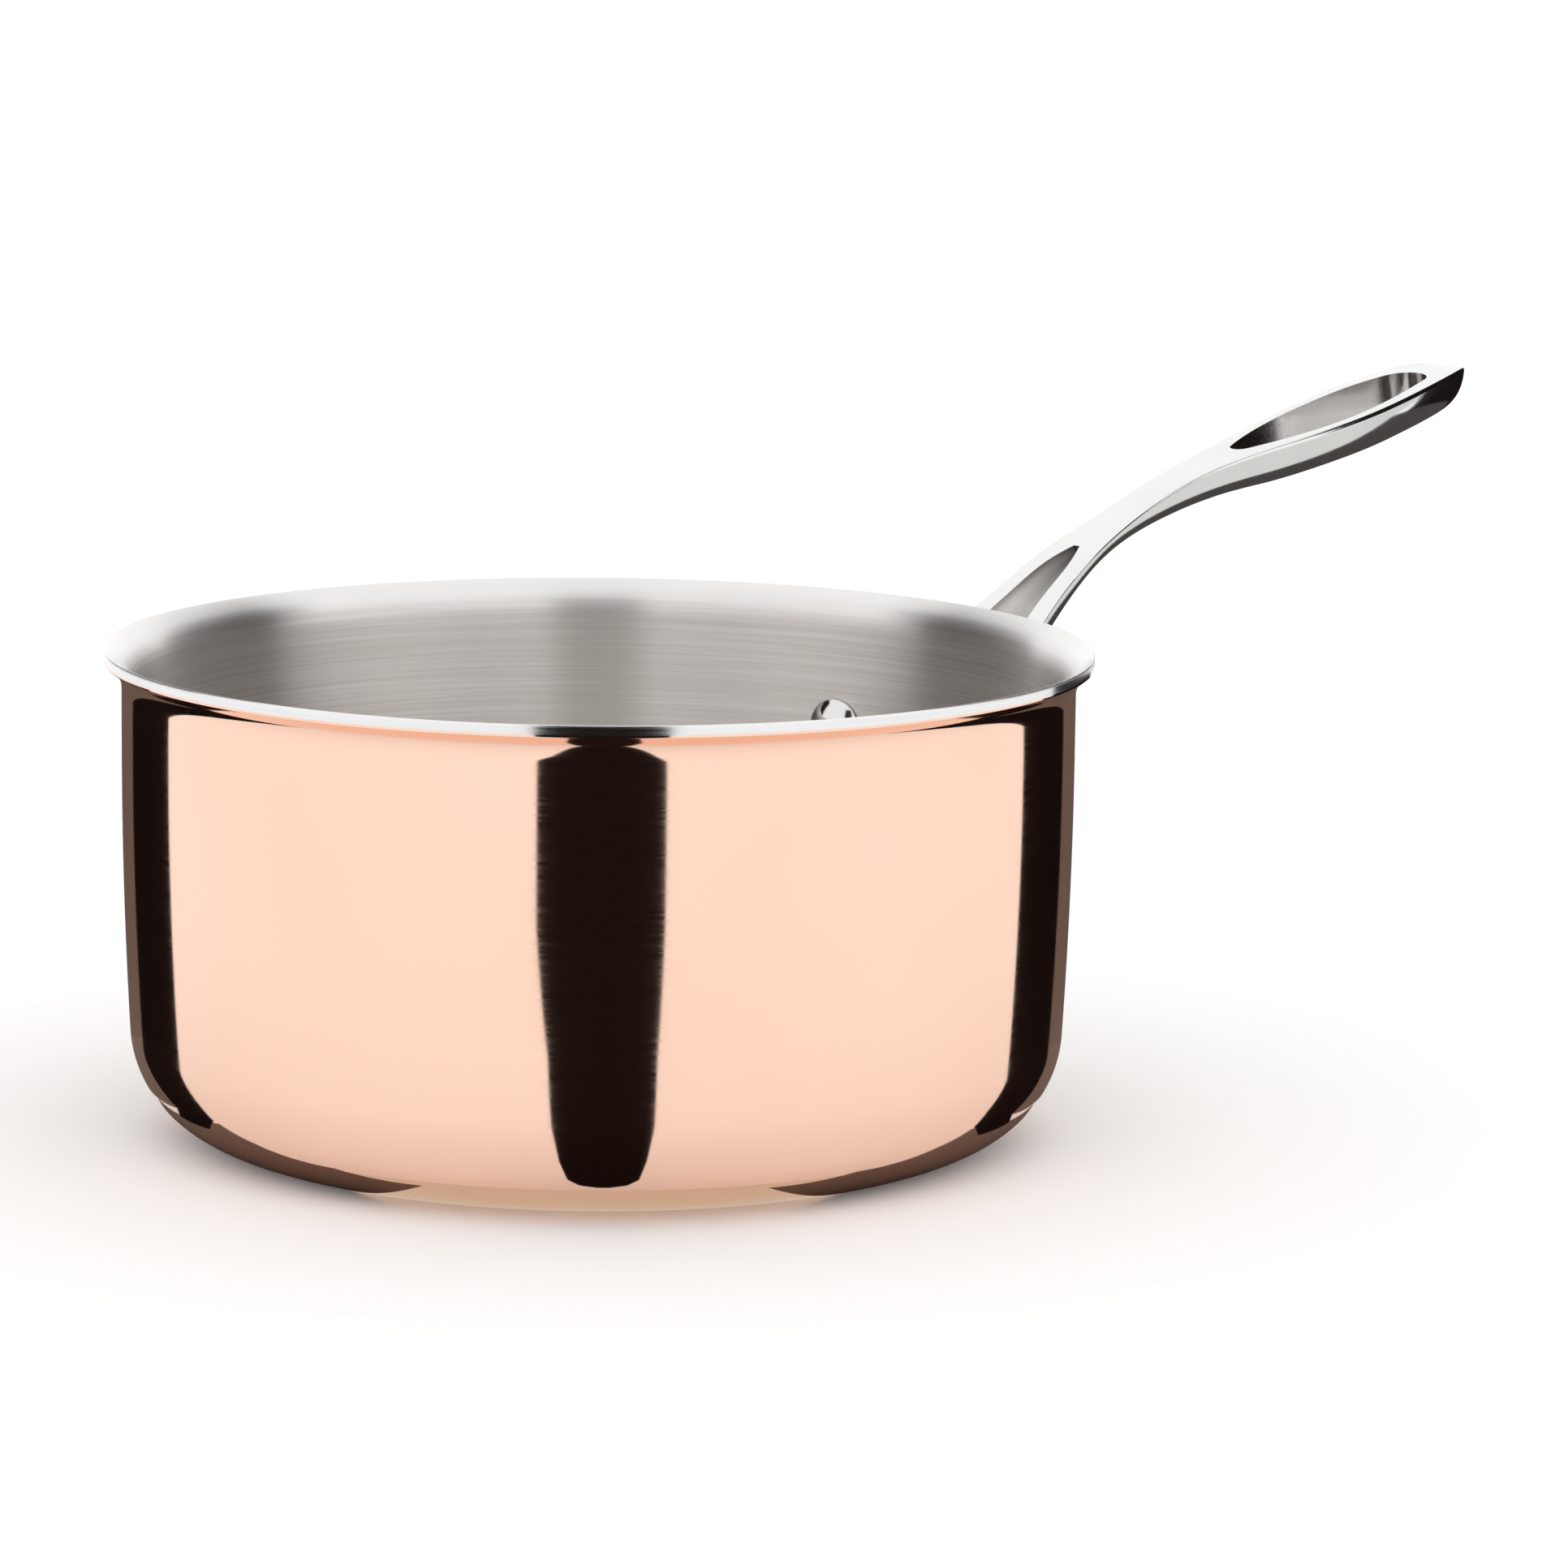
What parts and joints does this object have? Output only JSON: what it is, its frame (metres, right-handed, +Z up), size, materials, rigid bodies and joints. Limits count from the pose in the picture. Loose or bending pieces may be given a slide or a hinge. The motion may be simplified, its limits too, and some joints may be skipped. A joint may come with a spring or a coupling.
{
  "type": "copper saucepan",
  "caption": "Deep round saucepan with a flared lip, polished copper outside and brushed steel inside, on a long riveted steel handle with a hanging slot.",
  "frame": {"origin": "centre of the pan's underside, on the surface it stands on", "axes": "+Z up, +X from the pan's axis along the handle, and the plane y = 0 mirrors the pan"},
  "size_m": [0.3977, 0.2122, 0.1468],
  "materials": {
    "copper": "mirror polished copper",
    "aluminium": "polished cut edge",
    "brushed_steel": "brushed around the wall",
    "cast_steel": "polished casting",
    "rivet_steel": "polished"
  },
  "bodies": {
    "root": {"copper_skin": "copper", "aluminium_core": "aluminium", "steel_lining": "brushed_steel", "handle": "cast_steel", "rivet_left": "rivet_steel", "rivet_right": "rivet_steel"}
  },
  "joints": []
}
